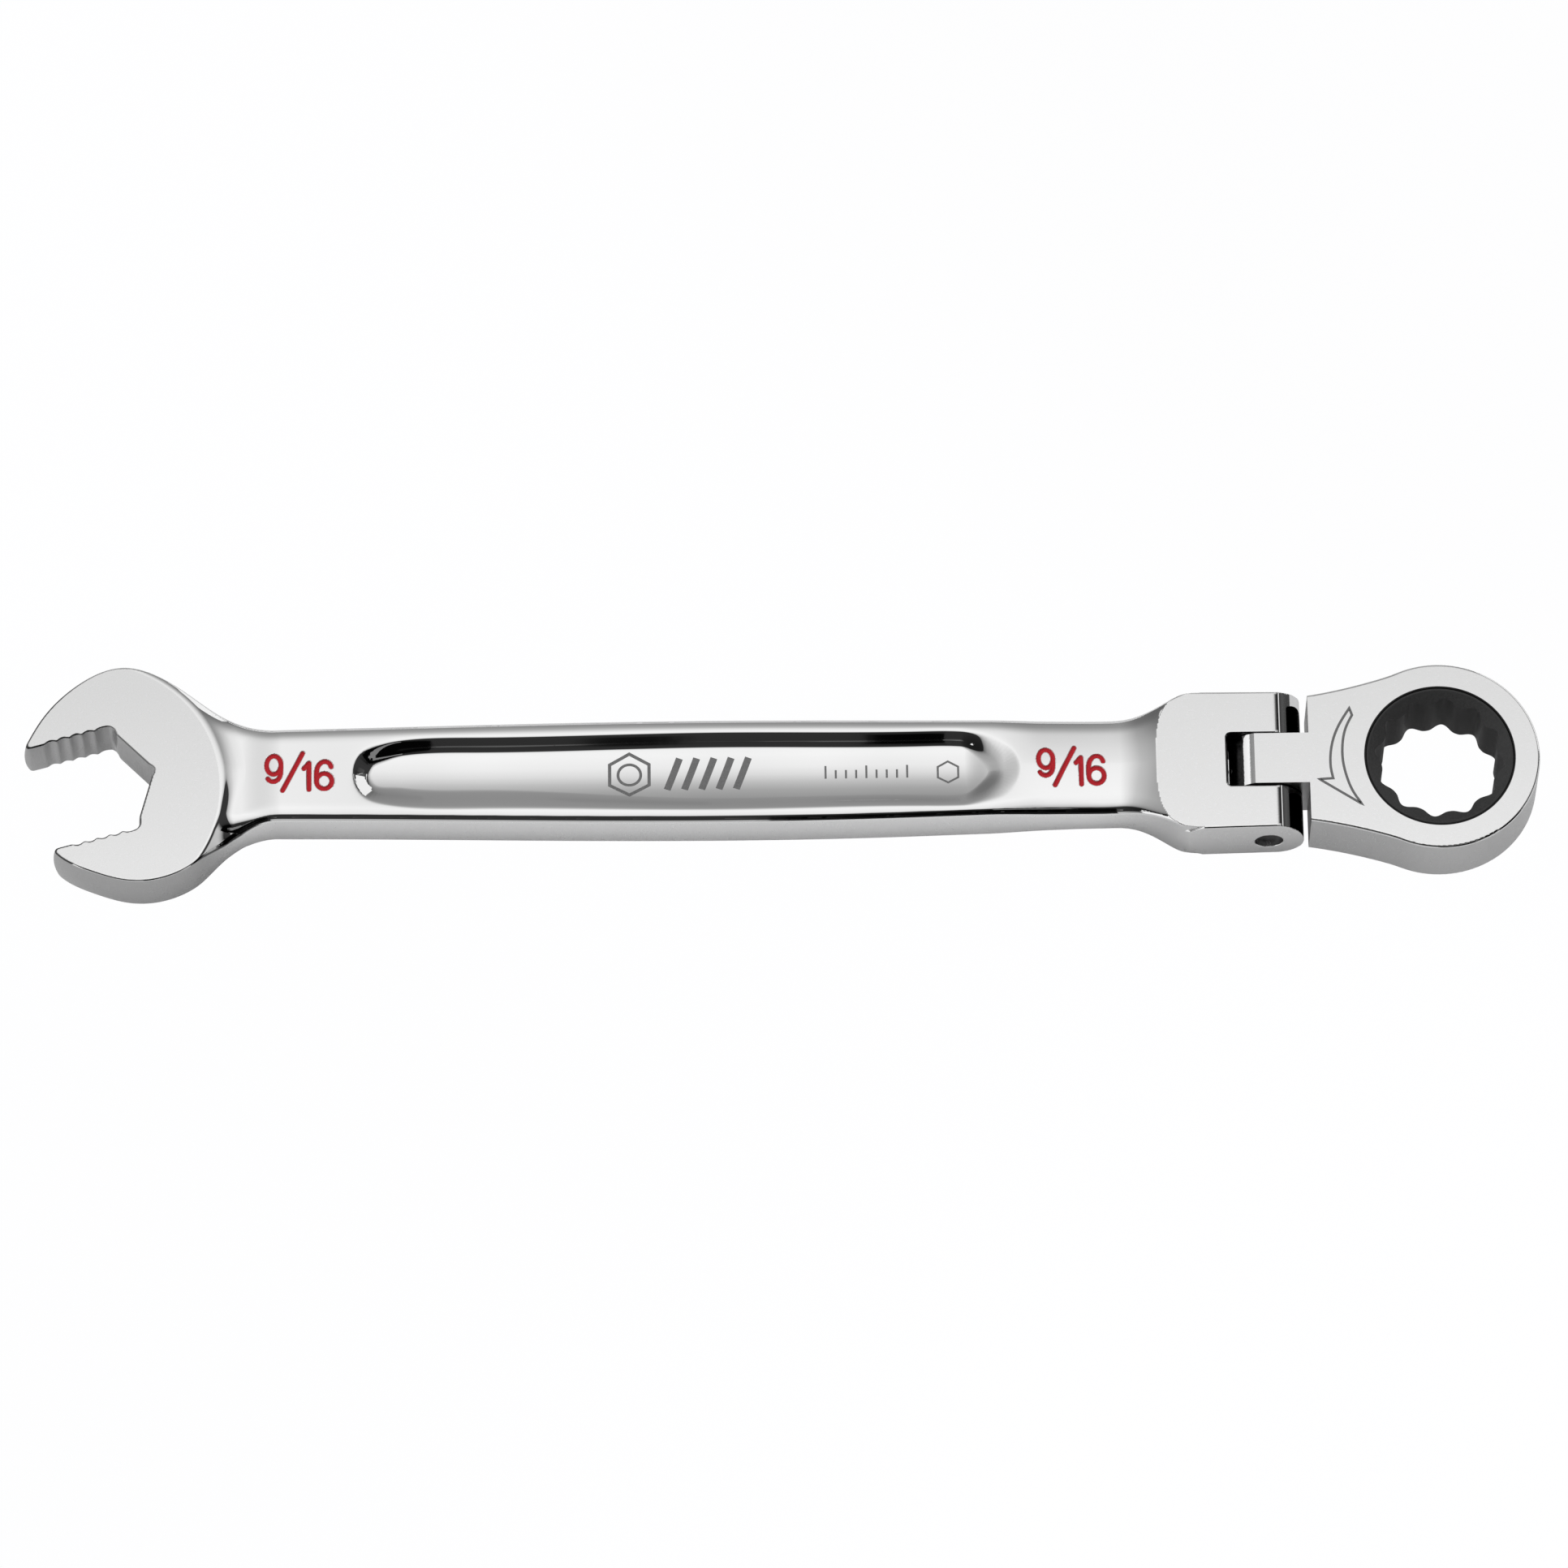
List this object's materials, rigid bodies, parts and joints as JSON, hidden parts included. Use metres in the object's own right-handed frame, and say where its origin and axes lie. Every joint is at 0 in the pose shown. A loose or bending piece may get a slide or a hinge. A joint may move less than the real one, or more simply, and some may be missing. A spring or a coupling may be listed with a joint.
{
  "type": "flex-head ratcheting combination wrench",
  "caption": "Combination wrench with an angled open end, a pocketed chrome beam and a ratcheting twelve-point box end on a flex pivot.",
  "frame": {"origin": "on the drive axis, half way through the ratchet head", "axes": "+X from the open end to the ratchet head, +Y across the handle, +Z along the drive axis out of the arrow-marked face"},
  "size_m": [0.1929, 0.0294, 0.009],
  "materials": {
    "polished_chrome": "polished",
    "satin_chrome": "satin",
    "black_oxide_steel": "satin",
    "pin_steel": "satin",
    "bearing_steel": "polished",
    "spring_steel": "satin",
    "pawl_steel": "satin"
  },
  "bodies": {
    "handle": {"handle": "polished_chrome", "pivot_pin": "pin_steel", "detent_spring": "spring_steel"},
    "detent_ball": {"detent_ball": "bearing_steel"},
    "ratchet_head": {"ratchet_head": "satin_chrome", "retaining_ring": "spring_steel", "pawl_spring_upper": "spring_steel", "pawl_spring_lower": "spring_steel"},
    "drive_gear": {"drive_gear": "black_oxide_steel"},
    "pawl_upper": {"pawl_upper": "pawl_steel"},
    "pawl_lower": {"pawl_lower": "pawl_steel"}
  },
  "joints": [
    {"name": "flex_pivot", "type": "hinge", "parent": "handle", "child": "ratchet_head", "pos_m": [-0.0219, 0, 0], "axis": [0, 1, 0], "range_deg": [-90, 90]},
    {"name": "drive_gear_spin", "type": "hinge", "parent": "ratchet_head", "child": "drive_gear", "pos_m": [0, 0, 0], "axis": [0, 0, 1], "continuous": true},
    {"name": "pawl_upper_slide", "type": "slide", "parent": "ratchet_head", "child": "pawl_upper", "axis": [-1, 0, 0], "range_m": [0, 0.00045], "deforming": ["pawl_spring_upper"]},
    {"name": "pawl_lower_slide", "type": "slide", "parent": "ratchet_head", "child": "pawl_lower", "axis": [-1, 0, 0], "range_m": [0, 0.00025], "deforming": ["pawl_spring_lower"]},
    {"name": "detent_ball_slide", "type": "slide", "parent": "handle", "child": "detent_ball", "axis": [-1, 0, 0], "range_m": [0, 0.0004], "deforming": ["detent_spring"]}
  ]
}
